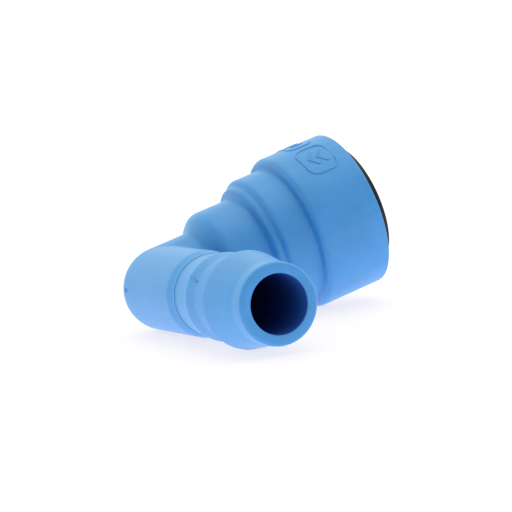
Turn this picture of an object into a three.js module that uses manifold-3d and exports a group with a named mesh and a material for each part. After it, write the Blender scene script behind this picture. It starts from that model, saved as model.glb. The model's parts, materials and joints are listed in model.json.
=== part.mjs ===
// Push-to-connect elbow for a 12 mm tube, with a barbed stem for a half-inch hose.
//
// The elbow is drawn in its port frame: the corner, where the two bores meet, is at the
// origin, the tube socket runs along +X and the hose barb along -Y. It is then laid down as
// it lies on a bench, on its corner, the shoulder of its socket and the largest ring of its
// barb, with the origin on the bench under the middle of its box.
// Units are millimetres and +Z is up.

import * as THREE from 'three';
import { mergeVertices } from 'three/addons/utils/BufferGeometryUtils.js';
import Module from 'manifold-3d';

const wasm = await Module();
wasm.setup();

// Driving dimensions
const TUBE_RADIUS = 6; // the 12 mm tube that the socket takes
const BORE_RADIUS = 4.15; // the waterway through the barb and the corner
const STEM_RADIUS = 6.3; // the plain stem, the neck and the ball at the corner
const BARB_RADIUS = 6.9; // the largest ring of the barb
const BARB_TIP = 42.7; // from the corner to the end of the barb
const SOCKET_RADIUS = 12.1; // the barrel of the socket
const SOCKET_RIM = 32; // from the corner to the rim of the socket
const FLANGE_RADIUS = 9.7; // the flange of the collet
const FLANGE_FACE = 33.7; // from the corner to the outer face of that flange
const FLANGE_THICKNESS = 1.5;
const FINGERS = 8; // the collet's fingers, each with one tooth
const GAP = 0.3; // room left between pieces that touch
const AROUND = 36; // facets around a turned piece
const ARC_STEP = Math.PI / 7; // the most that an arc turns from one point to the next

// Steps inside the socket, measured from the corner
const TUBE_STOP = 9;
const SEAL_SEAT = 15.4;
const SEAL_SEAT_RADIUS = 8.6;
const CARTRIDGE_SEAT = 21;
const CARTRIDGE_SEAT_RADIUS = 10.3;
const TUBE_CLEARANCE = 0.1;
const SLEEVE_BORE = TUBE_RADIUS + TUBE_CLEARANCE;
const POCKET_RADIUS = SLEEVE_BORE + 0.05;

// Loose pieces inside the socket
const SEAL_CORD = 1.2;
const SPACER_FLANGE = 1;
const CAP_INNER_END = CARTRIDGE_SEAT + GAP + SPACER_FLANGE + GAP;
const CAP_FACE = SOCKET_RIM - 0.8;
const CAP_MOUTH = 8.1;
const CAP_CHAMBER = 9.3;
const CONE_NARROW_END = 28.4;
const CONE_WIDE_END = 25.6;
const SLEEVE_RADIUS = 7.5;
const HEAD_RADIUS = 8.85;
const HEAD_PLAY = 0.8; // how far the finger heads stand back from the cone of the cap
const HEAD_END = 23.9;
const TOOTH_EDGE = 5.8; // the sharp edges grip the tube a little inside its surface
const TOOTH_ROOT = 8;
const TOOTH_PLACE = 25;
const TOOTH_WIDTH = 2.2;
const TOOTH_THICKNESS = 0.5;
const SLOT_WIDTH = 1.2;
const SLOT_END = 30.4;

const plastic = (color, roughness) => new THREE.MeshStandardMaterial({ color, roughness, metalness: 0 });
const bluePlastic = plastic(0x4a90d0, 0.45);
const blackPlastic = plastic(0x1c1e22, 0.4);
const whitePlastic = plastic(0xd8dadc, 0.5);
const rubber = plastic(0x101012, 0.8);
const steel = new THREE.MeshStandardMaterial({ color: 0xb8bcc0, roughness: 0.3, metalness: 1 });

// Points of an outline given as [along, radius, fillet] corners, where a corner with a
// fillet becomes an arc that is tangent to both of its sides.
function outline(corners) {
  const points = [];
  const at = (i) => new THREE.Vector2(corners[i][1], corners[i][0]);
  corners.forEach(([, , fillet = 0], i) => {
    const corner = at(i);
    if (fillet === 0) {
      points.push(corner);
      return;
    }
    const back = at(i - 1).sub(corner).normalize();
    const ahead = at(i + 1).sub(corner).normalize();
    const half = Math.acos(back.dot(ahead)) / 2;
    const middle = back.clone().add(ahead).normalize();
    const centre = corner.clone().addScaledVector(middle, fillet / Math.sin(half));
    const start = corner.clone().addScaledVector(back, fillet / Math.tan(half)).sub(centre);
    const turn = (Math.PI - 2 * half) * Math.sign(back.cross(ahead));
    const steps = Math.ceil(Math.abs(turn) / ARC_STEP);
    for (let k = 0; k <= steps; k++) {
      points.push(start.clone().rotateAround(new THREE.Vector2(), (-turn * k) / steps).add(centre));
    }
  });
  return points;
}

// A quarter circle about the corner, from the axis on the far side round to the radius.
function ballEnd(radius) {
  const steps = AROUND / 4;
  return Array.from({ length: steps }, (_, k) => {
    const angle = (k / steps) * (Math.PI / 2);
    return [-radius * Math.cos(angle), radius * Math.sin(angle)];
  });
}

// Turns an outline about +Y. The outline runs up the outside, so the faces point outwards.
function turned(corners) {
  return new THREE.LatheGeometry(outline(corners), AROUND);
}

function ring(corners) {
  return turned([...corners, corners[0]]);
}

function solid(geometry) {
  const bare = geometry.clone();
  bare.deleteAttribute('normal');
  bare.deleteAttribute('uv');
  const merged = mergeVertices(bare, 1e-4);
  const index = merged.index.array;
  const triangles = [];
  for (let i = 0; i < index.length; i += 3) {
    const [a, b, c] = index.slice(i, i + 3);
    if (a !== b && b !== c && c !== a) triangles.push(a, b, c);
  }
  const vertProperties = Float32Array.from(merged.attributes.position.array);
  const triVerts = Uint32Array.from(triangles);
  return new wasm.Manifold(new wasm.Mesh({ numProp: 3, vertProperties, triVerts }));
}

function geometryOf(cut) {
  const { vertProperties, triVerts } = cut.getMesh();
  const geometry = new THREE.BufferGeometry();
  geometry.setAttribute('position', new THREE.BufferAttribute(vertProperties, 3));
  geometry.setIndex(new THREE.BufferAttribute(triVerts, 1));
  geometry.computeVertexNormals();
  return geometry;
}

const alongSocket = (geometry) => geometry.rotateZ(-Math.PI / 2); // +Y becomes +X
const alongBarb = (geometry) => geometry.rotateX(Math.PI); // +Y becomes -Y

// The moulded elbow. The socket grows in three steps, over the tube's pocket, the seal's
// chamber and the collet's chamber.
const SHOULDER = { foot: 20.6, top: 21.5, fillet: 1 };
const BARB_EDGE = 32;

function socketOutside() {
  return alongSocket(turned([
    [0, 0],
    [0, STEM_RADIUS],
    [6.2, STEM_RADIUS, 1],
    [8.2, 8.5, 2.2],
    [14.3, 8.5, 0.8],
    [15.1, 9.9, 0.6],
    [16, 10, 0.4],
    [16.5, 10.7, 0.9],
    [SHOULDER.foot, 10.7, 0.8],
    [SHOULDER.top, SOCKET_RADIUS, SHOULDER.fillet],
    [SOCKET_RIM, SOCKET_RADIUS, 0.6],
    [SOCKET_RIM, 0],
  ]));
}

function barbOutside() {
  return alongBarb(turned([
    ...ballEnd(STEM_RADIUS),
    [0, STEM_RADIUS],
    [16.9, STEM_RADIUS],
    [18.4, 5.95],
    [18.8, 5.95],
    [18.9, 5.83],
    [19.5, 5.83],
    [24.5, 6.35],
    [26.8, 5.95],
    [BARB_EDGE - 0.8, 5.95],
    [BARB_EDGE, BARB_RADIUS],
    [39.8, 5.75],
    [BARB_TIP, 5.75, 0.35],
    [BARB_TIP, 0],
  ]));
}

function socketInside() {
  const beyond = SOCKET_RIM + 1;
  return alongSocket(turned([
    [0, 0],
    [0, BORE_RADIUS],
    [TUBE_STOP, BORE_RADIUS],
    [TUBE_STOP, POCKET_RADIUS],
    [SEAL_SEAT, POCKET_RADIUS],
    [SEAL_SEAT, SEAL_SEAT_RADIUS],
    [CARTRIDGE_SEAT, SEAL_SEAT_RADIUS],
    [CARTRIDGE_SEAT, CARTRIDGE_SEAT_RADIUS],
    [SOCKET_RIM - 0.4, CARTRIDGE_SEAT_RADIUS],
    [SOCKET_RIM, CARTRIDGE_SEAT_RADIUS + 0.4],
    [beyond, CARTRIDGE_SEAT_RADIUS + 0.4],
    [beyond, 0],
  ]));
}

function barbInside() {
  const beyond = BARB_TIP + 1;
  return alongBarb(turned([
    ...ballEnd(BORE_RADIUS),
    [0, BORE_RADIUS],
    [BARB_TIP - 0.35, BORE_RADIUS],
    [BARB_TIP, BORE_RADIUS + 0.35],
    [beyond, BORE_RADIUS + 0.35],
    [beyond, 0],
  ]));
}

function elbowBody() {
  const outside = solid(socketOutside()).add(solid(barbOutside()));
  const inside = solid(socketInside()).add(solid(barbInside()));
  return geometryOf(outside.subtract(inside));
}

// The ring that is welded into the mouth. Its cone squeezes the collet's fingers.
function retainingCap() {
  return ring([
    [CAP_INNER_END, CAP_CHAMBER],
    [CAP_INNER_END, CARTRIDGE_SEAT_RADIUS - GAP],
    [CAP_FACE, CARTRIDGE_SEAT_RADIUS - GAP],
    [CAP_FACE, CAP_MOUTH],
    [CONE_NARROW_END, CAP_MOUTH],
    [CONE_WIDE_END, CAP_CHAMBER],
  ]);
}

function spacerWasher() {
  const seat = CARTRIDGE_SEAT + GAP;
  const sealEnd = SEAL_SEAT + GAP + 2 * SEAL_CORD + 2 * GAP;
  return ring([
    [sealEnd, POCKET_RADIUS],
    [sealEnd, SEAL_SEAT_RADIUS - GAP],
    [seat, SEAL_SEAT_RADIUS - GAP],
    [seat, CARTRIDGE_SEAT_RADIUS - GAP],
    [seat + SPACER_FLANGE, CARTRIDGE_SEAT_RADIUS - GAP],
    [seat + SPACER_FLANGE, POCKET_RADIUS],
  ]);
}

function sealRing() {
  const middle = SEAL_SEAT_RADIUS - GAP - SEAL_CORD;
  const place = SEAL_SEAT + GAP + SEAL_CORD;
  return new THREE.TorusGeometry(middle, SEAL_CORD, 12, AROUND).rotateX(Math.PI / 2).translate(0, place, 0);
}

// The collet: a flanged sleeve whose inner end is slotted into fingers with thick heads.
// Behind each head is a pocket that holds a tooth.
function collet() {
  const slope = (CAP_CHAMBER - CAP_MOUTH) / (CONE_NARROW_END - CONE_WIDE_END);
  const coneAt = (radius) => CONE_NARROW_END - HEAD_PLAY - (radius - CAP_MOUTH) / slope;
  const sleeve = ring([
    [HEAD_END, SLEEVE_BORE],
    [HEAD_END, HEAD_RADIUS - 0.7],
    [HEAD_END + 0.7, HEAD_RADIUS],
    [coneAt(HEAD_RADIUS), HEAD_RADIUS],
    [coneAt(SLEEVE_RADIUS), SLEEVE_RADIUS],
    [FLANGE_FACE - FLANGE_THICKNESS, SLEEVE_RADIUS],
    [FLANGE_FACE - FLANGE_THICKNESS, FLANGE_RADIUS],
    [FLANGE_FACE, FLANGE_RADIUS, 0.2],
    [FLANGE_FACE, SLEEVE_BORE + 0.7],
    [FLANGE_FACE - 0.9, SLEEVE_BORE],
  ]);
  const slotLength = SLOT_END - HEAD_END + 1;
  const pocketThickness = TOOTH_THICKNESS + 2 * GAP;
  let cut = solid(sleeve);
  for (let k = 0; k < FINGERS; k++) {
    const slot = new THREE.BoxGeometry(6, slotLength, SLOT_WIDTH)
      .translate(8, SLOT_END - slotLength / 2, 0)
      .rotateY(fingerAngle(k - 0.5));
    const pocket = new THREE.BoxGeometry(4, pocketThickness, TOOTH_WIDTH + 2 * GAP)
      .translate(TOOTH_ROOT + GAP - 2, TOOTH_PLACE + TOOTH_THICKNESS / 2, 0)
      .rotateY(fingerAngle(k));
    cut = cut.subtract(solid(slot)).subtract(solid(pocket));
  }
  return geometryOf(cut);
}

function fingerAngle(k) {
  return (k / FINGERS) * 2 * Math.PI;
}

// A tooth: a small steel blade, sharpened on the edge that bites the tube.
function tooth() {
  const blade = new THREE.Shape([
    new THREE.Vector2(TOOTH_EDGE, TOOTH_PLACE),
    new THREE.Vector2(TOOTH_ROOT, TOOTH_PLACE),
    new THREE.Vector2(TOOTH_ROOT, TOOTH_PLACE + TOOTH_THICKNESS),
    new THREE.Vector2(TOOTH_EDGE + 0.7, TOOTH_PLACE + TOOTH_THICKNESS),
  ]);
  const settings = { depth: TOOTH_WIDTH, bevelEnabled: false };
  return new THREE.ExtrudeGeometry(blade, settings).translate(0, 0, -TOOTH_WIDTH / 2);
}

function named(name, geometry, material) {
  const mesh = new THREE.Mesh(geometry, material);
  mesh.name = name;
  return mesh;
}

// The pieces in the socket stand on a line whose +Y is the socket's way out.
function socketPieces() {
  const line = new THREE.Group();
  line.rotation.z = -Math.PI / 2;
  line.add(
    named('retaining_cap', retainingCap(), bluePlastic),
    named('spacer_washer', spacerWasher(), whitePlastic),
    named('o_ring', sealRing(), rubber),
    named('collet', collet(), blackPlastic),
  );
  for (let k = 0; k < FINGERS; k++) {
    const blade = named(`tooth_${k + 1}`, tooth(), steel);
    blade.rotation.y = fingerAngle(k);
    line.add(blade);
  }
  return line;
}

// The angle by which an arm lifts when a bench touches both the ball at the corner and a
// ring of the arm: reach and radius place the ring's edge, which is rounded by its fillet.
function lift(reach, radius, fillet) {
  const offset = radius - fillet;
  return Math.atan2(offset, reach) - Math.asin((STEM_RADIUS - fillet) / Math.hypot(reach, offset));
}

function layDown(port) {
  const wall = Math.atan2(SOCKET_RADIUS - 10.7, SHOULDER.top - SHOULDER.foot);
  const shoulder = SHOULDER.top + SHOULDER.fillet * Math.tan(wall / 2);
  const socketLift = lift(shoulder, SOCKET_RADIUS, SHOULDER.fillet);
  const barbLift = lift(BARB_EDGE, BARB_RADIUS, 0);
  const down = new THREE.Vector3(-Math.sin(socketLift), Math.sin(barbLift), 0);
  down.z = -Math.sqrt(1 - down.lengthSq());
  port.rotation.y = -Math.atan2(-down.x, -down.z);
  const lying = new THREE.Group();
  lying.rotation.x = -Math.asin(down.y);
  lying.add(port);
  const elbow = new THREE.Group();
  elbow.add(lying);
  const box = new THREE.Box3().setFromObject(elbow, true);
  const middle = box.getCenter(new THREE.Vector3());
  lying.position.set(-middle.x, -middle.y, -box.min.z);
  return elbow;
}

const port = new THREE.Group();
port.add(named('elbow_body', elbowBody(), bluePlastic), socketPieces());

export default layDown(port);
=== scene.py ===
"""Push-to-connect elbow: smooth moulded meshes, their finishes, a bench and soft light.

The fitting is drawn in its port frame: the corner where the two bores meet is the origin,
the tube socket runs along +X and the hose barb along -Y. Outlines are in millimetres.
"""

import json
import math
from types import SimpleNamespace

import bmesh
import bpy
import numpy as np
from bpy.props import FloatProperty, FloatVectorProperty, IntProperty, PointerProperty
from bpy.types import Operator, Panel, PropertyGroup
from mathutils import Matrix, Vector


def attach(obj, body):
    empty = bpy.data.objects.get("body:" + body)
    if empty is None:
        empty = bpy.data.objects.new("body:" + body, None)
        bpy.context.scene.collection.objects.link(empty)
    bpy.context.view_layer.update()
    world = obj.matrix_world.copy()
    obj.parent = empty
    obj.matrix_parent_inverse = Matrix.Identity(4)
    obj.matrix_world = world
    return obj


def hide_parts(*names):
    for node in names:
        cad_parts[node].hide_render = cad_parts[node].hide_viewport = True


bl_info = {
    "name": "Push-to-connect elbow",
    "version": (1, 0, 0),
    "blender": (4, 5, 0),
    "location": "View3D > Sidebar > Elbow",
    "description": "Builds a push-to-connect elbow around its packed frame",
    "category": "Add Mesh",
}

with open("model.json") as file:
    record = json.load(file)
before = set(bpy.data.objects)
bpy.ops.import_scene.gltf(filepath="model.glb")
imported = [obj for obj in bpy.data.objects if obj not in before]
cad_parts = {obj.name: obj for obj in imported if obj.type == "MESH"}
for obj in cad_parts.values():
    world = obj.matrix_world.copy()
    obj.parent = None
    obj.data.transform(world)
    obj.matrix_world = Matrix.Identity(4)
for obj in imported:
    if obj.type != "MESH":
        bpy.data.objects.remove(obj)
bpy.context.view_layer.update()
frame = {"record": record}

MM = 0.001
RIM_MOUNT_HEIGHT = 11.15 * MM  # the tube_port mount sits this far above the socket's axis
MOUNTS = {mount["name"]: mount for mount in frame["record"]["mounts"]}


def port_frame(rim):
    """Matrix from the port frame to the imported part, from the mounts at the two ports."""
    way_out = Vector(MOUNTS["tube_port"]["axis"]).normalized()
    back = -Vector(MOUNTS["hose_end"]["axis"]).normalized()
    up = way_out.cross(back).normalized()
    back = up.cross(way_out)
    corner = Vector(MOUNTS["tube_port"]["pos_m"]) - way_out * rim - up * RIM_MOUNT_HEIGHT
    turn = Matrix((way_out, back, up)).transposed().to_4x4()
    return Matrix.Translation(corner) @ turn


# The socket's own frame: +Z is its way out, and +X points along the hose barb.
SOCKET_IN_PORT = Matrix(((0, 0, 1, 0), (-1, 0, 0, 0), (0, -1, 0, 0), (0, 0, 0, 1)))


def length(name, millimetres, description):
    return FloatProperty(name=name, description=description, default=millimetres * MM, unit="LENGTH")


def colour(name, value, description):
    return FloatVectorProperty(
        name=name, description=description, default=value, size=3, subtype="COLOR", min=0, max=1
    )


class ElbowBodySizes(PropertyGroup):
    stem_radius: length("Stem radius", 6.3, "Radius of the plain stem, the neck and the ball corner")
    bore_radius: length("Bore radius", 4.15, "Radius of the waterway through the barb and corner")
    barb_radius: length("Barb radius", 6.9, "Radius of the largest ring of the hose barb")
    barb_tip: length("Barb tip", 42.7, "From the corner to the end of the barb")
    socket_radius: length("Socket radius", 12.1, "Radius of the barrel of the socket")
    socket_rim: length("Socket rim", 32.0, "From the corner to the rim of the socket")
    seat_radius: length("Seat radius", 10.3, "Radius of the recess that holds the cap")
    tube_pocket: length("Tube pocket", 6.15, "Radius of the pocket that the tube's end enters")
    inner_fillet: length("Inner fillet", 1.7, "Reach of the rounding inside the bend")
    seam_height: length("Seam height", 0.011, "Height of the parting line left by the mould")
    columns: IntProperty(name="Columns", description="Faces around each arm", default=160)


class CartridgeSizes(PropertyGroup):
    flange_radius: length("Flange radius", 9.7, "Radius of the collet's flange")
    flange_face: length("Flange face", 33.7, "From the corner to the collet's outer face")
    flange_thickness: length("Flange thickness", 1.5, "Thickness of the collet's flange")
    sleeve_radius: length("Sleeve radius", 7.5, "Outer radius of the collet's sleeve")
    sleeve_bore: length("Sleeve bore", 6.1, "Inner radius of the collet's sleeve")
    head_radius: length("Head radius", 8.85, "Outer radius of the finger heads")
    head_end: length("Head end", 23.9, "From the corner to the inner end of the fingers")
    slot_width: length("Slot width", 1.2, "Width of the slots between the fingers")
    tooth_edge: length("Tooth edge", 5.8, "Radius at which the teeth bite the tube")
    tooth_width: length("Tooth width", 2.2, "Width of each steel tooth")
    fingers: IntProperty(name="Fingers", description="Fingers of the collet", default=8)


class FinishColours(PropertyGroup):
    body: colour("Body", (0.062, 0.272, 0.560), "Colour of the moulded elbow and its cap")
    collet: colour("Collet", (0.018, 0.020, 0.024), "Colour of the collet")
    spacer: colour("Spacer", (0.70, 0.71, 0.70), "Colour of the spacer washer")
    seal: colour("Seal", (0.010, 0.010, 0.011), "Colour of the rubber ring")
    steel: colour("Steel", (0.60, 0.61, 0.63), "Colour of the stainless teeth")
    floor: colour("Floor", (0.18, 0.18, 0.18), "Colour of the bench")


class StageSettings(PropertyGroup):
    azimuth: FloatProperty(
        name="Azimuth", description="Camera's turn about the part",
        default=math.radians(-22.6), subtype="ANGLE"
    )
    elevation: FloatProperty(
        name="Elevation", description="Camera's height angle",
        default=math.radians(6.17), subtype="ANGLE"
    )
    roll: FloatProperty(
        name="Roll", description="How far the camera leans to its right",
        default=math.radians(6.0), subtype="ANGLE"
    )
    distance: FloatProperty(
        name="Distance", description="Camera to aim point", default=0.3735, unit="LENGTH"
    )
    bench_glow: FloatProperty(
        name="Bench glow", description="Light that the bench gives off", default=0.62
    )
    under_light: FloatProperty(
        name="Under light", description="Power of the light under the part", default=0.031
    )
    tent_back: FloatProperty(
        name="Tent back", description="Light of the tent behind the part", default=1.12
    )
    tent_front: FloatProperty(
        name="Tent front", description="Light of the tent on the camera's side", default=0.62
    )
    lens: FloatProperty(
        name="Lens", description="Focal length on a 36 mm sensor, in millimetres", default=180.1
    )
    aim: FloatVectorProperty(
        name="Aim", description="Point at the middle of the view",
        default=(-0.00464, 0.0016, 0.01061), subtype="TRANSLATION", unit="LENGTH"
    )


def in_mm(group):
    """The lengths of a property group in millimetres, and its counts as they are."""
    values = SimpleNamespace()
    for key, prop in group.bl_rna.properties.items():
        if prop.type == "FLOAT":
            setattr(values, key, getattr(group, key) / MM)
        elif prop.type == "INT":
            setattr(values, key, getattr(group, key))
    return values


# Outlines ------------------------------------------------------------------------------

ARC_STEP = math.radians(15)


def outline(corners, step=0.6, closed=False):
    """Points through [along, radius, fillet] corners, with arcs for fillets and no long runs."""
    points = []
    for i, (along, radius, *fillet) in enumerate(corners):
        corner = np.array((along, radius))
        if not fillet:
            points.append(corner)
            continue
        back = np.array(corners[i - 1][:2]) - corner
        ahead = np.array(corners[(i + 1) % len(corners)][:2]) - corner
        back, ahead = back / np.linalg.norm(back), ahead / np.linalg.norm(ahead)
        half = math.acos(float(back @ ahead)) / 2
        middle = (back + ahead) / np.linalg.norm(back + ahead)
        centre = corner + middle * fillet[0] / math.sin(half)
        start = corner + back * fillet[0] / math.tan(half) - centre
        turn = (math.pi - 2 * half) * np.sign(ahead[0] * back[1] - ahead[1] * back[0])
        for part in np.linspace(0, 1, math.ceil(abs(turn) / ARC_STEP) + 1):
            c, s = math.cos(turn * part), math.sin(turn * part)
            points.append(centre + np.array((c * start[0] - s * start[1], s * start[0] + c * start[1])))
    if closed:
        points.append(points[0])
    dense = [points[0]]
    for before, after in zip(points, points[1:]):
        pieces = max(1, math.ceil(np.linalg.norm(after - before) / step))
        dense += [before + (after - before) * k / pieces for k in range(1, pieces + 1)]
    return np.array(dense[:-1] if closed else dense)


def turned(name, corners, columns, step=0.6):
    """A ring turned about the socket's axis, in the socket's own frame."""
    profile = outline(corners, step, closed=True)
    angles = np.arange(columns) * 2 * math.pi / columns
    along, radius = profile[:, 0, None], profile[:, 1, None]
    grid = np.stack(
        (radius * np.cos(angles), radius * np.sin(angles), along + 0 * angles), axis=2
    )
    rows = np.arange(grid.shape[0] * columns).reshape(grid.shape[:2])
    return mesh_of(name, grid.reshape(-1, 3), skin_faces([*rows, rows[0]]))


def skin_faces(rings):
    """Faces between neighbouring rings of vertex numbers, leaving out those that close up."""
    faces = []
    for one, other in zip(rings, rings[1:]):
        for a, b, c, d in zip(one, np.roll(one, -1), np.roll(other, -1), other):
            face = list(dict.fromkeys((int(a), int(b), int(c), int(d))))
            if len(face) > 2:
                faces.append(face)
    return faces


def in_scene(name, data):
    """An object that holds the data, linked into the scene."""
    thing = bpy.data.objects.new(name, data)
    bpy.context.scene.collection.objects.link(thing)
    return thing


def closed_shell(name, shell):
    """A mesh from a bmesh, which is freed."""
    mesh = bpy.data.meshes.new(name)
    shell.to_mesh(mesh)
    shell.free()
    return mesh


def mesh_of(name, points, faces):
    """An object from millimetre points, with its faces pointing out."""
    mesh = bpy.data.meshes.new(name)
    mesh.from_pydata([tuple(p) for p in np.asarray(points) * MM], [], faces)
    shell = bmesh.new()
    shell.from_mesh(mesh)
    if shell.calc_volume(signed=True) < 0:
        bmesh.ops.reverse_faces(shell, faces=shell.faces)
    shell.to_mesh(mesh)
    shell.free()
    return in_scene(name, mesh)


# Mesh work -----------------------------------------------------------------------------

def settle(thing):
    """Turns the object's modifiers into its plain mesh."""
    bpy.context.view_layer.update()
    seen = thing.evaluated_get(bpy.context.evaluated_depsgraph_get())
    mesh = bpy.data.meshes.new_from_object(seen)
    thing.modifiers.clear()
    thing.data = mesh
    return thing


def cut(thing, tool, operation="DIFFERENCE"):
    """Cuts or joins a tool into the object, and throws the tool away."""
    modifier = thing.modifiers.new("Cut", "BOOLEAN")
    modifier.operation = operation
    modifier.object = tool
    modifier.solver = "EXACT"
    settle(thing)
    bpy.data.objects.remove(tool)
    return thing


def place(thing, matrix):
    thing.data.transform(matrix)
    return thing


def finished(thing, material, body, slot, *nodes, crease=32):
    """Shades a piece, gives it its finish, and lets it stand for its CAD nodes."""
    thing.data.shade_smooth()
    thing.data.set_sharp_from_angle(angle=math.radians(crease))
    thing.data.materials.clear()
    thing.data.materials.append(material)
    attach(thing, body)
    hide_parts(*nodes)
    return thing


def around_tree(count, start):
    """Geometry nodes that repeat a shape evenly about its own Z axis."""
    tree = bpy.data.node_groups.new("Repeat around the axis", "GeometryNodeTree")
    face = tree.interface
    face.new_socket("Geometry", in_out="INPUT", socket_type="NodeSocketGeometry")
    copies = face.new_socket("Count", in_out="INPUT", socket_type="NodeSocketInt")
    first = face.new_socket("First angle", in_out="INPUT", socket_type="NodeSocketFloat")
    coat = face.new_socket("Material", in_out="INPUT", socket_type="NodeSocketMaterial")
    face.new_socket("Geometry", in_out="OUTPUT", socket_type="NodeSocketGeometry")
    copies.default_value, first.default_value = count, start
    new, link = tree.nodes.new, tree.links.new
    given, result = new("NodeGroupInput"), new("NodeGroupOutput")
    points, index = new("GeometryNodePoints"), new("GeometryNodeInputIndex")
    share, turn, angle = (new("ShaderNodeMath") for _ in range(3))
    share.operation, turn.operation, angle.operation = "DIVIDE", "MULTIPLY", "ADD"
    turn.inputs[1].default_value = 2 * math.pi
    spin, copy = new("ShaderNodeCombineXYZ"), new("GeometryNodeInstanceOnPoints")
    real, paint = new("GeometryNodeRealizeInstances"), new("GeometryNodeSetMaterial")
    link(given.outputs["Count"], points.inputs["Count"])
    link(index.outputs[0], share.inputs[0])
    link(given.outputs["Count"], share.inputs[1])
    link(share.outputs[0], turn.inputs[0])
    link(turn.outputs[0], angle.inputs[0])
    link(given.outputs["First angle"], angle.inputs[1])
    link(angle.outputs[0], spin.inputs["Z"])
    link(points.outputs[0], copy.inputs["Points"])
    link(given.outputs["Geometry"], copy.inputs["Instance"])
    link(spin.outputs[0], copy.inputs["Rotation"])
    link(copy.outputs[0], real.inputs[0])
    link(real.outputs[0], paint.inputs["Geometry"])
    link(given.outputs["Material"], paint.inputs["Material"])
    link(paint.outputs[0], result.inputs[0])
    return tree, {"count": copies.identifier, "start": first.identifier, "coat": coat.identifier}


def repeat_around(thing, count, start, material=None):
    """Repeats the object about its Z axis, as one plain mesh."""
    tree, keys = around_tree(count, start)
    modifier = thing.modifiers.new("Repeat", "NODES")
    modifier.node_group = tree
    modifier[keys["count"]] = count
    modifier[keys["start"]] = start
    modifier[keys["coat"]] = material
    return settle(thing)


def block(name, low, high):
    """A plain box between two corners, in millimetres, used only as a cutter."""
    shell = bmesh.new()
    bmesh.ops.create_cube(shell, size=1)
    low, high = Vector(low) * MM, Vector(high) * MM
    size, middle = high - low, (low + high) / 2
    to_size = Matrix.Translation(middle) @ Matrix.Diagonal((*size, 1))
    bmesh.ops.transform(shell, verts=shell.verts, matrix=to_size)
    return in_scene(name, closed_shell(name, shell))


# The moulded elbow ---------------------------------------------------------------------

BARB_FULL = 8.0  # beyond this along the barb, the rings are whole circles
SOCKET_FULL = 7.4  # and beyond this along the socket
CORNER_ROWS = 14
BALL_ROWS = 40
SEAM_HALF_ANGLE = 0.010


def socket_outline(size):
    r, seat, pocket = size.socket_radius, size.seat_radius, size.tube_pocket
    rim = size.socket_rim
    return outline([
        [0, size.stem_radius], [6.2, size.stem_radius, 1], [8.2, 8.5, 2.2],
        [14.6, 8.5, 0.15], [15.1, 9.85, 0.5], [16, 9.95, 0.14], [16.45, 10.7, 0.7],
        [21.1, 10.7, 0.15], [21.5, r, 1], [rim, r, 0.15],
        [rim, seat + 0.4, 0.1], [rim - 0.4, seat, 0.2],
        [21, seat, 0.15], [21, 8.6, 0.25], [15.4, 8.6, 0.2], [15.4, pocket, 0.3],
        [9, pocket, 0.3], [9, size.bore_radius, 0.3], [0, size.bore_radius],
    ], 0.55)


def barb_outline(size):
    stem, tip = size.stem_radius, size.barb_tip
    return outline([
        [0, stem], [16.9, stem, 0.5], [18.4, 5.95, 0.25], [18.8, 5.95, 0.12], [18.9, 5.83, 0.06],
        [19.5, 5.83, 0.6], [24.5, 6.35, 0.18], [26.8, 5.95, 0.5], [31.3, 5.95, 0.2],
        [32, size.barb_radius, 0.3], [39.8, 5.75, 0.5], [tip, 5.75, 0.55],
        [tip, size.bore_radius, 0.16], [0, size.bore_radius],
    ], 0.55)


def elbow_columns(count):
    """Angles around both arms, with close pairs beside the mould's parting plane."""
    angles = list(np.arange(count) * 2 * math.pi / count)
    for seam in (math.pi / 2, 3 * math.pi / 2):
        angles += [seam + SEAM_HALF_ANGLE * k for k in (-2, -1, 1, 2)]
    return np.sort(np.array(angles))


def on_barb(radius, along, angle):
    return np.stack((radius * np.sin(angle), -along + 0 * angle, radius * np.cos(angle)), axis=-1)


def on_socket(radius, along, angle):
    return np.stack((along + 0 * angle, -radius * np.sin(angle), radius * np.cos(angle)), axis=-1)


def wall(angle, ridge, barb_radius, socket_radius_at):
    """One surface of the bend, inside or outside: rows up the barb arm's end, the ball, and the
    rows down the socket arm's start. Inside the bend both arms stop where they meet."""
    inner = np.sin(angle) >= -1e-9
    radius = barb_radius + ridge
    across = radius * np.sin(angle)
    reach = socket_radius_at(np.maximum(across, 0)) + ridge
    height = radius * np.cos(angle)
    meet_y = np.sqrt(np.maximum(reach**2 - height**2, 0))
    barb_start = np.where(inner, meet_y, 0)
    socket_start = np.where(inner, across, 0)
    socket_angle = np.where(inner, np.arctan2(meet_y, height), angle)
    shares = np.linspace(1, 0, CORNER_ROWS + 1)[1:]
    barb_rows = [on_barb(radius, barb_start + (BARB_FULL - barb_start) * s, angle) for s in shares]
    ball_rows = []
    for turn in np.linspace(0, math.pi / 2, BALL_ROWS + 1)[1:-1]:
        ball = np.stack((across * math.cos(turn), -across * math.sin(turn), height), axis=-1)
        ball_rows.append(np.where(inner[:, None], barb_rows[-1], ball))
    socket_rows = []
    for s in shares[::-1]:
        along = socket_start + (SOCKET_FULL - socket_start) * s
        socket_rows.append(on_socket(socket_radius_at(along) + ridge, along, socket_angle))
    socket_rows[0] = np.where(inner[:, None], barb_rows[-1], socket_rows[0])
    return SimpleNamespace(barb=barb_rows, ball=ball_rows, socket=socket_rows, angle=socket_angle)


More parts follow.
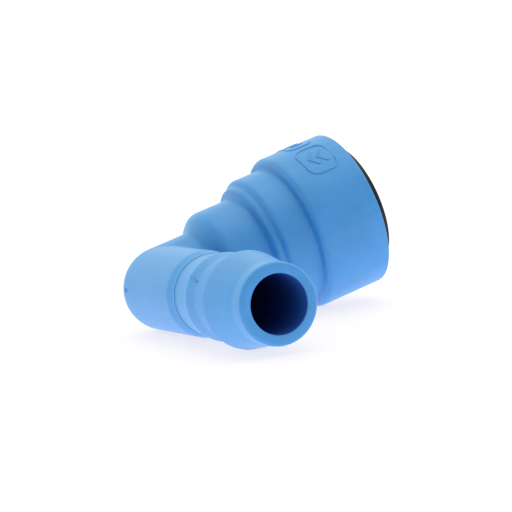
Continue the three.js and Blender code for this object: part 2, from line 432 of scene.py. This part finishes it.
def ease_bend(points, size, socket_radius_at):
    """Rounds the sharp valley inside the bend, by moving its points onto a blend of the arms."""
    for _ in range(5):
        x, y, z = points.T
        from_barb, from_socket = np.hypot(x, z), np.hypot(y, z)
        to_barb = from_barb - size.stem_radius
        slope = (socket_radius_at(x + 0.05) - socket_radius_at(x - 0.05)) / 0.1
        lean = 1 / np.sqrt(1 + slope**2)
        to_socket = (from_socket - socket_radius_at(x)) * lean
        barb_way = np.stack((x / from_barb, 0 * y, z / from_barb), axis=1)
        socket_way = np.stack((-slope, y / from_socket, z / from_socket), axis=1) * lean[:, None]
        facing = np.clip(1 - np.sum(barb_way * socket_way, axis=1), 0, 1)
        reach = size.inner_fillet * facing + 1e-6
        share = np.clip(0.5 + 0.5 * (to_socket - to_barb) / reach, 0, 1)
        distance = to_socket + (to_barb - to_socket) * share - reach * share * (1 - share)
        way = socket_way + (barb_way - socket_way) * share[:, None]
        near = (np.maximum(abs(to_barb), abs(to_socket)) < 1.5 * size.inner_fillet) & (y < 0) & (x > 0)
        step = (distance / np.sum(way * way, axis=1))[:, None] * way
        points = points - np.where(near[:, None], step, 0)
    return points


def elbow_mesh(size):
    """The whole moulding as one skin: a closed loop of rings that runs out along the outside
    of the barb, back through the bores, out to the socket's rim and back along its outside."""
    socket, barb = socket_outline(size), barb_outline(size)
    angle = elbow_columns(size.columns)
    seam = np.isclose(np.abs(np.sin(angle)), 1)
    ridge = np.where(seam, size.seam_height, 0)
    outside_end = int(np.argmax(socket[:, 0]))

    def socket_radius_at(along):
        return np.interp(along, socket[:outside_end, 0], socket[:outside_end, 1])

    def bore_radius_at(along):
        return np.full_like(along, size.bore_radius)

    outer = wall(angle, ridge, size.stem_radius, socket_radius_at)
    inner = wall(angle, 0 * ridge, size.bore_radius, bore_radius_at)

    def whole_rings(profile, first, point_on, outer_angle, tip):
        """Rings beyond the bend, from the outside of the arm to its bore."""
        rings = []
        kept = [row for row in profile if row[0] >= first]
        for along, radius in kept:
            raised = ridge if along < tip and radius > 5.7 and len(rings) <= len(kept) // 2 else 0 * ridge
            rings.append(point_on(radius + raised, along, outer_angle))
        return rings

    barb_rings = whole_rings(barb, BARB_FULL, on_barb, angle, size.barb_tip - 1)
    socket_rings = whole_rings(socket, SOCKET_FULL, on_socket, outer.angle, size.socket_rim - 1)
    points, rings = [], []

    def add(ring):
        rings.append(np.arange(len(angle)) + len(angle) * len(points))
        points.append(ring)

    for ring in [*outer.barb[::-1], *barb_rings, *inner.barb, *inner.ball, *inner.socket]:
        add(ring)
    for ring in [*socket_rings[::-1], *outer.socket[::-1], *outer.ball[::-1]]:
        add(ring)
    cloud = np.concatenate(points)
    outside = np.zeros(len(cloud), bool)
    first_socket = len(points) - len(outer.ball) - len(outer.socket) - len(socket_rings) // 2
    outside[: len(angle) * (len(outer.barb) + 12)] = True
    outside[len(angle) * first_socket:] = True
    cloud[outside] = ease_bend(cloud[outside], size, socket_radius_at)
    body = mesh_of("elbow_moulding", cloud, skin_faces([*rings, rings[0]]))
    shell = bmesh.new()
    shell.from_mesh(body.data)
    bmesh.ops.remove_doubles(shell, verts=shell.verts, dist=0.0005 * MM)
    shell.to_mesh(body.data)
    shell.free()
    return body


# Raised and hollow marks of the mould, in millimetres.
MARK_THICKNESS = 0.22
MARK_SUNK = 0.07
FLASH_THICKNESS = 0.11
SCAR_RADIUS = 0.42
SCAR_STAND_OFF = 0.14


def stroke(points, thickness, closed):
    """A round raised line that follows points on the barrel, given in millimetres."""
    curve = bpy.data.curves.new("stroke", "CURVE")
    curve.dimensions = "3D"
    curve.bevel_depth = thickness * MM
    curve.bevel_resolution = 3
    curve.use_fill_caps = True
    spline = curve.splines.new("POLY")
    spline.points.add(len(points) - 1)
    for point, place_at in zip(spline.points, points):
        point.co = (*(Vector(place_at) * MM), 1)
    spline.use_cyclic_u = closed
    line = in_scene("stroke", curve)
    bpy.context.view_layer.update()
    mesh = bpy.data.meshes.new_from_object(line)
    bpy.data.objects.remove(line)
    return mesh


def rounded_frame(wide, high, corner):
    """Points of a rectangle with round corners, about its middle."""
    points = []
    for quarter, (sx, sy) in enumerate(((1, 1), (-1, 1), (-1, -1), (1, -1))):
        for part in np.linspace(0, 1, 6):
            turn = math.pi / 2 * (quarter + part)
            x = sx * (wide / 2 - corner) + corner * math.cos(turn)
            y = sy * (high / 2 - corner) + corner * math.sin(turn)
            points.append((x, y))
    return points


def raised_marks(size):
    """Plain raised marks on the barrel: a frame with two arrows that point to the corner, for
    the way a tube goes in, and a long frame with three bars."""
    sunk = size.socket_radius - MARK_SUNK

    def wrapped(points, along, turn):
        """Lays flat points on the barrel, about a place given along it and around it."""
        laid = []
        for before, after in zip(points, points[1:]):
            steps = max(1, math.ceil(math.dist(before, after) / 0.35))
            laid += [np.array(before) + (np.array(after) - before) * k / steps for k in range(steps)]
        laid.append(np.array(points[-1]))
        angles = [turn + y / sunk for _, y in laid]
        return [(along + x, -sunk * math.sin(a), sunk * math.cos(a)) for (x, _), a in zip(laid, angles)]

    arrow_place, bar_place = (27.35, math.radians(32)), (27.4, math.radians(-6))
    strokes = [
        (wrapped(rounded_frame(4.9, 6.4, 1.6), *arrow_place), True),
        (wrapped(rounded_frame(3.9, 6.6, 1.0), *bar_place), True),
    ]
    for shift in (-0.75, 0.75):
        arrow = [(shift + 0.55, 1.5), (shift - 0.55, 0), (shift + 0.55, -1.5)]
        strokes.append((wrapped(arrow, *arrow_place), False))
    for shift in (-1.6, 0, 1.6):
        strokes.append((wrapped([(-0.9, shift), (0.9, shift)], *bar_place), False))
    shell = bmesh.new()
    for points, closed in strokes:
        shell.from_mesh(stroke(points, MARK_THICKNESS, closed))
    return in_scene("raised_marks", closed_shell("raised_marks", shell))


def flash_sliver(size):
    """A ragged hair of flash that the mould left on the barb's second step."""
    path = (
        (24.3, 130, 6.34), (24.8, 133, 6.33), (25.4, 132, 6.22), (26.0, 136, 6.11), (26.9, 135, 5.96)
    )
    points = []
    for along, degrees, radius in path:
        turn = math.radians(degrees)
        points.append((radius * math.cos(turn), -along, radius * math.sin(turn)))
    return in_scene("flash_sliver", stroke(points, FLASH_THICKNESS, False))


def gate_scar(size):
    """A small ball that hollows the spot where the plastic was fed into the mould."""
    shell = bmesh.new()
    bmesh.ops.create_icosphere(shell, subdivisions=3, radius=SCAR_RADIUS * MM)
    way = Vector((-5.93, -0.05, 2.12)).normalized()
    bmesh.ops.translate(shell, verts=shell.verts, vec=way * (size.stem_radius + SCAR_STAND_OFF) * MM)
    return in_scene("gate_scar", closed_shell("gate_scar", shell))


# Finishes ------------------------------------------------------------------------------

class Wire:
    """A shader socket that takes part in sums."""

    def __init__(self, finish, socket):
        self.finish, self.socket = finish, socket

    def sum(self, operation, first, second):
        return self.finish.node("ShaderNodeMath", {"operation": operation}, {0: first, 1: second})

    def __add__(self, other):
        return self.sum("ADD", self, other)

    def __sub__(self, other):
        return self.sum("SUBTRACT", self, other)

    def __rsub__(self, other):
        return self.sum("SUBTRACT", other, self)

    def __mul__(self, other):
        return self.sum("MULTIPLY", self, other)

    def __abs__(self):
        return self.sum("ABSOLUTE", self, 0)

    __radd__, __rmul__ = __add__, __mul__


class Finish:
    """A material under construction."""

    def __init__(self, name, turn=None):
        self.material = bpy.data.materials.new(name)
        self.material.use_nodes = True
        self.tree = self.material.node_tree
        self.tree.nodes.clear()
        matrix = turn or Matrix.Identity(4)
        place_at = self.node("ShaderNodeTexCoord", output="Object")
        self.at = self.node(
            "ShaderNodeMapping", {"vector_type": "TEXTURE"},
            {"Vector": place_at, "Location": matrix.to_translation(), "Rotation": matrix.to_euler()},
        )

    def node(self, kind, settings=None, sockets=None, output=0):
        made = self.tree.nodes.new(kind)
        for key, value in (settings or {}).items():
            if key == "stops":
                self.set_stops(made.color_ramp, value)
            else:
                setattr(made, key, value)
        for key, value in (sockets or {}).items():
            if isinstance(value, Wire):
                self.tree.links.new(value.socket, made.inputs[key])
            else:
                made.inputs[key].default_value = value
        return Wire(self, made.outputs[output]) if made.outputs else None

    @staticmethod
    def set_stops(ramp, stops):
        while len(ramp.elements) < len(stops):
            ramp.elements.new(1)
        for element, (position, value) in zip(ramp.elements, stops):
            element.position = position
            element.color = (value, value, value, 1)

    def noise(self, scale, detail=2.0, roughness=0.5, stretch=None):
        """Smooth noise: scale is in waves per metre, and stretch slows it along an axis."""
        vector = self.at
        if stretch:
            vector = self.node("ShaderNodeMapping", {}, {"Vector": self.at, "Scale": stretch})
        sockets = {"Vector": vector, "Scale": scale, "Detail": detail, "Roughness": roughness}
        return self.node("ShaderNodeTexNoise", {}, sockets)

    def step(self, value, low, high):
        """0 below low, 1 above high, and a smooth rise between."""
        sockets = {"Value": value, "From Min": low, "From Max": high}
        return self.node("ShaderNodeMapRange", {"interpolation_type": "SMOOTHSTEP"}, sockets)

    def mix(self, factor, first, second):
        return self.node("ShaderNodeMix", {"data_type": "RGBA"}, {0: factor, 6: first, 7: second}, output=2)

    def bump(self, height, strength, distance, below=None):
        sockets = {"Height": height, "Strength": strength, "Distance": distance}
        if below:
            sockets["Normal"] = below
        return self.node("ShaderNodeBump", {}, sockets)

    def close(self, **sockets):
        """Ends the material in a Principled shader."""
        named = {key.replace("_", " "): value for key, value in sockets.items()}
        shader = self.node("ShaderNodeBsdfPrincipled", {}, named)
        self.node("ShaderNodeOutputMaterial", {}, {"Surface": shader})
        return self.material


def shade(value, factor):
    """A colour made lighter or darker, with its alpha."""
    return (*(min(1, channel * factor) for channel in value[:3]), 1)


def blue_plastic(value, port):
    """Satin moulded plastic: cloudy pigment, flow streaks, fine grain, a parting line, and painted shade
    that darkens the wall inside the barb's bore.
    """
    finish = Finish("blue_moulded_plastic", port)
    cloud = finish.noise(230, 3, 0.55)
    streak = finish.noise(900, 3, 0.6, stretch=(0.25, 0.25, 1.6))
    grain = finish.noise(7500, 2, 0.5)
    rub = finish.step(finish.noise(2600, 4, 0.7, stretch=(0.12, 1, 1)), 0.62, 0.72)
    across = finish.node("ShaderNodeSeparateXYZ", {}, {0: finish.at}, output=2)
    along = finish.node("ShaderNodeSeparateXYZ", {}, {0: finish.at}, output=1)
    flat = finish.node("ShaderNodeVectorMath", {"operation": "MULTIPLY"}, {0: finish.at, 1: (1, 0, 1)})
    off_axis = finish.node("ShaderNodeVectorMath", {"operation": "LENGTH"}, {0: flat}, output=1)
    # Painted shade: beyond 6 to 8 mm from the corner, the wall inside the barb's bore is darkened to a
    # deeper navy.
    bore = (1 - finish.step(off_axis, 4.18 * MM, 4.30 * MM)) * (1 - finish.step(along, -8 * MM, -6 * MM))
    seam = 1 - finish.step(abs(across), 0.03 * MM, 0.10 * MM)
    tone = finish.step(cloud * 0.7 + streak * 0.3, 0.34, 0.66)
    paint = finish.mix(tone, shade(value, 0.96), shade(value, 1.04))
    paint = finish.mix(rub * 0.07, paint, shade(value, 1.45))
    paint = finish.mix(seam * 0.22, paint, shade(value, 0.72))
    painted_bore_shade = (value[0] * 0.8, value[1] * 0.6, value[2] * 0.82, 1)
    paint = finish.mix(bore, paint, painted_bore_shade)
    dull = 0.38 + cloud * 0.10 + grain * 0.06 + rub * 0.06
    relief = finish.bump(grain, 0.10, 0.02 * MM)
    relief = finish.bump(streak, 0.10, 0.05 * MM, relief)
    return finish.close(
        Base_Color=paint, Roughness=dull, Normal=relief, IOR=1.5, Specular_IOR_Level=0.75,
        Subsurface_Weight=0.10, Subsurface_Radius=(0.2, 0.5, 1.0), Subsurface_Scale=1.2 * MM,
    )


def black_plastic(value, port):
    """Dark acetal with a dry sheen, rubbed a little paler where fingers press it."""
    finish = Finish("charcoal_acetal", port)
    cloud = finish.noise(420, 3, 0.6)
    grain = finish.noise(9000, 2, 0.5)
    rub = finish.step(finish.noise(3000, 5, 0.75, stretch=(1, 0.15, 0.6)), 0.58, 0.70)
    paint = finish.mix(cloud, shade(value, 0.8), shade(value, 1.35))
    paint = finish.mix(rub * 0.25, paint, shade(value, 3.2))
    relief = finish.bump(grain, 0.14, 0.02 * MM)
    dull = 0.34 + grain * 0.12 + rub * 0.10
    return finish.close(Base_Color=paint, Roughness=dull, Normal=relief, IOR=1.48)


def white_plastic(value, port):
    """Natural moulded plastic with faint clouding."""
    finish = Finish("natural_white_plastic", port)
    cloud = finish.noise(500, 4, 0.6)
    grain = finish.noise(8000, 2, 0.5)
    paint = finish.mix(cloud, shade(value, 0.88), shade(value, 1.03))
    relief = finish.bump(grain, 0.12, 0.02 * MM)
    return finish.close(Base_Color=paint, Roughness=0.42 + grain * 0.12, Normal=relief, IOR=1.5)


def greased_rubber(value, port):
    """Black rubber with a patchy film of grease."""
    finish = Finish("greased_rubber", port)
    grain = finish.noise(6000, 4, 0.6)
    film = finish.step(finish.noise(700, 3, 0.6), 0.42, 0.6)
    paint = finish.mix(grain, shade(value, 0.8), shade(value, 1.9))
    relief = finish.bump(grain, 0.2, 0.03 * MM)
    return finish.close(
        Base_Color=paint, Roughness=0.62 - film * 0.34, Normal=relief,
        Coat_Weight=film * 0.5, Coat_Roughness=0.12,
    )


def stamped_steel(value, port):
    """Stainless strip with fine rolling lines and darker sheared spots."""
    finish = Finish("stamped_stainless", port)
    lines = finish.noise(16000, 3, 0.6, stretch=(0.08, 1, 1))
    stain = finish.noise(1500, 4, 0.7)
    paint = finish.mix(finish.step(stain, 0.35, 0.7), shade(value, 0.78), shade(value, 1.04))
    relief = finish.bump(lines, 0.22, 0.01 * MM)
    dull = 0.22 + lines * 0.16 + stain * 0.06
    return finish.close(Base_Color=paint, Roughness=dull, Normal=relief, Metallic=1.0)


# Operators -----------------------------------------------------------------------------

# Places along the socket and radii of the pieces in its mouth, in millimetres.
CAP_INNER_END, CAP_FACE = 22.6, 31.2
CAP_CHAMBER, CAP_MOUTH = 9.3, 8.1
CONE_WIDE_END, CONE_NARROW_END = 25.6, 28.4
WELD_GAP = 0.3
HEAD_SHOULDER, SLEEVE_START = 25.85, 29.0
SLOT_END = 30.4
TOOTH_ROOT, TOOTH_PLACE, TOOTH_THICKNESS = 8.0, 25.0, 0.5
SEAL_PLACE, SEAL_RING, SEAL_CORD, SEAL_FLASH = 16.9, 7.1, 1.2, 0.05
SPACER_START, SPACER_STEP, SPACER_END, SPACER_SLEEVE = 18.7, 21.3, 22.3, 8.3


class PieceOperator:
    bl_options = {"REGISTER", "UNDO"}

    @property
    def port(self):
        return port_frame(bpy.context.scene.elbow_body.socket_rim)


class ELBOW_OT_body(PieceOperator, Operator):
    """Make the moulded elbow with its raised marks, hair of flash and gate scar"""

    bl_idname = "elbow.body"
    bl_label = "Moulded elbow"

    def execute(self, context):
        size = in_mm(context.scene.elbow_body)
        body = elbow_mesh(size)
        cut(body, raised_marks(size), "UNION")
        cut(body, flash_sliver(size), "UNION")
        cut(body, gate_scar(size))
        place(body, self.port)
        paint = blue_plastic(context.scene.elbow_colours.body, self.port)
        finished(body, paint, "elbow", "blue_body", "elbow_body")
        return {"FINISHED"}


class ELBOW_OT_cap(PieceOperator, Operator):
    """Make the ring that is welded into the socket's mouth"""

    bl_idname = "elbow.cap"
    bl_label = "Retaining cap"

    def execute(self, context):
        size = in_mm(context.scene.elbow_body)
        outer = size.seat_radius - WELD_GAP
        cap = turned("retaining_ring", [
            [CAP_INNER_END, CAP_CHAMBER, 0.2], [CAP_INNER_END, outer, 0.2],
            [CAP_FACE, outer, 0.25], [CAP_FACE, CAP_MOUTH, 0.3],
            [CONE_NARROW_END, CAP_MOUTH, 0.4], [CONE_WIDE_END, CAP_CHAMBER, 0.4],
        ], size.columns)
        place(cap, self.port @ SOCKET_IN_PORT)
        paint = bpy.data.materials.get("blue_moulded_plastic")
        finished(cap, paint, "elbow", "blue_body", "retaining_cap")
        return {"FINISHED"}


class ELBOW_OT_collet(PieceOperator, Operator):
    """Make the slotted collet"""

    bl_idname = "elbow.collet"
    bl_label = "Collet"

    def execute(self, context):
        size, count = in_mm(context.scene.elbow_cartridge), context.scene.elbow_cartridge.fingers
        face, bore, head = size.flange_face, size.sleeve_bore, size.head_radius
        flange = face - size.flange_thickness
        collet = turned("release_collet", [
            [size.head_end, bore, 0.2], [size.head_end, head - 0.7, 0.2],
            [size.head_end + 0.7, head, 0.3], [HEAD_SHOULDER, head, 0.3],
            [SLEEVE_START, size.sleeve_radius, 0.6], [flange, size.sleeve_radius, 0.25],
            [flange, size.flange_radius, 0.2], [face, size.flange_radius, 0.32],
            [face, bore + 0.7, 0.35], [face - 0.9, bore, 0.5],
        ], 160, 0.4)
        half_slot = size.slot_width / 2
        slots = block("slots", (5, -half_slot, size.head_end - 1), (11, half_slot, SLOT_END))
        cut(collet, repeat_around(slots, count, math.pi / count))
        half_pocket = size.tooth_width / 2 + 0.3
        pockets = block("pockets", (4.3, -half_pocket, 24.7), (8.3, half_pocket, 25.8))
        cut(collet, repeat_around(pockets, count, 0))
        place(collet, self.port @ SOCKET_IN_PORT)
        paint = black_plastic(context.scene.elbow_colours.collet, self.port)
        finished(collet, paint, "collet", "black_collet", "collet")
        return {"FINISHED"}


class ELBOW_OT_teeth(PieceOperator, Operator):
    """Make the collet's ring of steel teeth"""

    bl_idname = "elbow.teeth"
    bl_label = "Steel teeth"

    def execute(self, context):
        size, count = in_mm(context.scene.elbow_cartridge), context.scene.elbow_cartridge.fingers
        edge, low, high = size.tooth_edge, TOOTH_PLACE, TOOTH_PLACE + TOOTH_THICKNESS
        across = np.linspace(-size.tooth_width / 2, size.tooth_width / 2, 9)
        points = []
        for y in across:
            bite = math.sqrt((edge + 0.02) ** 2 - y**2) if abs(y) < edge else edge
            points += [
                (bite, y, low), (TOOTH_ROOT, y, low), (TOOTH_ROOT, y, high), (bite + 0.7, y, high)
            ]
        rings = np.arange(len(points)).reshape(len(across), 4)
        faces = skin_faces(list(rings))
        faces += [list(map(int, rings[0])), list(map(int, rings[-1][::-1]))]
        teeth = mesh_of("steel_teeth", points, faces)
        bevel = teeth.modifiers.new("Bevel", "BEVEL")
        bevel.width, bevel.segments, bevel.limit_method = 0.05 * MM, 2, "ANGLE"
        settle(teeth)
        paint = stamped_steel(context.scene.elbow_colours.steel, self.port)
        repeat_around(teeth, count, 0, paint)
        place(teeth, self.port @ SOCKET_IN_PORT)
        names = [f"tooth_{k + 1}" for k in range(count)]
        finished(teeth, paint, "collet", "tooth_steel", *names)
        return {"FINISHED"}


class ELBOW_OT_seal(PieceOperator, Operator):
    """Make the rubber ring and the spacer that keeps it in its seat"""

    bl_idname = "elbow.seal"
    bl_label = "Seal and spacer"

    def execute(self, context):
        size = in_mm(context.scene.elbow_body)
        colours, place_at = context.scene.elbow_colours, self.port @ SOCKET_IN_PORT
        section = [
            [
                SEAL_PLACE + SEAL_CORD * math.cos(a),
                SEAL_RING + (SEAL_CORD + SEAL_FLASH * (k % 12 == 6)) * math.sin(a),
            ]
            for k, a in enumerate(np.linspace(0, 2 * math.pi, 25)[:-1])
        ]
        seal = place(turned("seal_ring", section, size.columns, 1), place_at)
        finished(seal, greased_rubber(colours.seal, self.port), "elbow", "seal_rubber", "o_ring", crease=60)
        hold, bore = size.seat_radius - WELD_GAP, size.tube_pocket
        spacer = turned("spacer", [
            [SPACER_START, bore, 0.3], [SPACER_START, SPACER_SLEEVE, 0.2],
            [SPACER_STEP, SPACER_SLEEVE, 0.1], [SPACER_STEP, hold, 0.15],
            [SPACER_END, hold, 0.15], [SPACER_END, bore, 0.35],
        ], size.columns)
        place(spacer, place_at)
        finished(spacer, white_plastic(colours.spacer, self.port), "elbow", "white_spacer", "spacer_washer")
        return {"FINISHED"}


class ELBOW_OT_stage(Operator):
    """Make the bench, the soft light and the camera"""

    bl_idname = "elbow.stage"
    bl_label = "Stage"
    bl_options = {"REGISTER", "UNDO"}

    def execute(self, context):
        scene = context.scene
        self.floor(scene.elbow_colours.floor, scene.elbow_stage)
        self.world(scene)
        self.lamp("overhead", (0.10, -0.05, 0.60), (0, 0, 0), (0.5, 0.5), 0.52)
        self.lamp(
            "under_light", (0, 0, 0.0002), (0, 0, 1), (0.16, 0.16),
            scene.elbow_stage.under_light, tint=(1, 0.9, 1),
        )
        self.camera(scene)
        scene.view_settings.view_transform = "Standard"
        scene.view_settings.look = "High Contrast"
        return {"FINISHED"}

    def floor(self, value, stage):
        shell = bmesh.new()
        bmesh.ops.create_grid(shell, x_segments=8, y_segments=8, size=40)
        bench = in_scene("bench", closed_shell("bench", shell))
        finish = Finish("lit_bench")
        speck = finish.noise(60, 3, 0.5)
        paint = finish.mix(speck, shade(value, 0.985), shade(value, 1.01))
        away = finish.node("ShaderNodeVectorMath", {"operation": "LENGTH"}, {0: finish.at}, output=1)
        # Painted shadow: the bench's glow is dimmer within 3 cm of the part and brightens out to 11 cm, a
        # pool of shade about its foot.
        glow = finish.mix(finish.step(away, 0.03, 0.11), (0.86, 0.83, 0.845, 1), (0.97, 0.97, 1, 1))
        bench.data.materials.append(finish.close(
            Base_Color=paint, Roughness=0.8, Specular_IOR_Level=0.2,
            Emission_Color=glow, Emission_Strength=stage.bench_glow,
        ))

    def world(self, scene):
        """A white tent around the bench, dim on the side that the camera stands on."""
        stage = scene.elbow_stage
        scene.world = bpy.data.worlds.new("tent")
        scene.world.use_nodes = True
        tree = scene.world.node_tree
        tree.nodes.clear()
        new, link = tree.nodes.new, tree.links.new
        way, facing = new("ShaderNodeTexCoord"), new("ShaderNodeVectorMath")
        tone = new("ShaderNodeMapRange")
        facing.operation = "DOT_PRODUCT"
        facing.inputs[1].default_value = (math.sin(stage.azimuth), -math.cos(stage.azimuth), 0.1)
        tone.interpolation_type = "SMOOTHSTEP"
        for key, value in (
            ("From Min", -0.6), ("From Max", 0.9), ("To Min", stage.tent_back), ("To Max", stage.tent_front)
        ):
            tone.inputs[key].default_value = value
        seen, glow = new("ShaderNodeBackground"), new("ShaderNodeBackground")
        choice, ray = new("ShaderNodeMixShader"), new("ShaderNodeLightPath")
        end = new("ShaderNodeOutputWorld")
        for light in (seen, glow):
            light.inputs["Color"].default_value = (1, 0.99, 0.93, 1)
        seen.inputs["Strength"].default_value = 1.2
        link(way.outputs["Generated"], facing.inputs[0])
        link(facing.outputs["Value"], tone.inputs["Value"])
        link(tone.outputs[0], glow.inputs["Strength"])
        link(ray.outputs["Is Camera Ray"], choice.inputs[0])
        link(glow.outputs[0], choice.inputs[1])
        link(seen.outputs[0], choice.inputs[2])
        link(choice.outputs[0], end.inputs["Surface"])

    def lamp(self, name, position, target, size, power, tint=(1, 1, 1)):
        """A soft rectangular lamp, which the camera sees through."""
        light = bpy.data.lights.new(name, "AREA")
        light.shape, light.size, light.size_y, light.energy = "RECTANGLE", *size, power
        light.color = tint
        lamp = in_scene(name, light)
        lamp.location = position
        lamp.rotation_mode = "QUATERNION"
        lamp.rotation_quaternion = (Vector(target) - Vector(position)).to_track_quat("-Z", "Y")
        lamp.visible_camera = False

    def camera(self, scene):
        stage = scene.elbow_stage
        turn, rise = stage.azimuth, stage.elevation
        back = Vector((math.sin(turn) * math.cos(rise), -math.cos(turn) * math.cos(rise), math.sin(rise)))
        data = bpy.data.cameras.new("camera")
        data.lens, data.sensor_width = stage.lens, 36
        data.clip_start, data.clip_end = 0.01, 50
        eye = in_scene("camera", data)
        eye.rotation_mode = "QUATERNION"
        level = (-back).to_track_quat("-Z", "Y")
        eye.rotation_quaternion = level @ Matrix.Rotation(-stage.roll, 4, "Z").to_quaternion()
        eye.location = Vector(stage.aim) + back * stage.distance
        scene.camera = eye


class VIEW3D_PT_elbow(Panel):
    """Buttons for each piece, in the sidebar"""

    bl_label = "Push-to-connect elbow"
    bl_idname = "VIEW3D_PT_elbow"
    bl_space_type = "VIEW_3D"
    bl_region_type = "UI"
    bl_category = "Elbow"

    def draw(self, context):
        for operator in OPERATORS:
            self.layout.operator(operator.bl_idname)


GROUPS = {
    "elbow_body": ElbowBodySizes,
    "elbow_cartridge": CartridgeSizes,
    "elbow_colours": FinishColours,
    "elbow_stage": StageSettings,
}
OPERATORS = (
    ELBOW_OT_stage, ELBOW_OT_body, ELBOW_OT_cap, ELBOW_OT_collet, ELBOW_OT_teeth, ELBOW_OT_seal,
)


def register():
    for kind in (*GROUPS.values(), *OPERATORS, VIEW3D_PT_elbow):
        bpy.utils.register_class(kind)
    for name, kind in GROUPS.items():
        setattr(bpy.types.Scene, name, PointerProperty(type=kind))


def unregister():
    for name in GROUPS:
        delattr(bpy.types.Scene, name)
    for kind in reversed((*GROUPS.values(), *OPERATORS, VIEW3D_PT_elbow)):
        bpy.utils.unregister_class(kind)


def main():
    register()
    bpy.ops.elbow.stage()
    bpy.ops.elbow.body()
    bpy.ops.elbow.cap()
    bpy.ops.elbow.collet()
    bpy.ops.elbow.teeth()
    bpy.ops.elbow.seal()


if __name__ == "__main__":
    main()
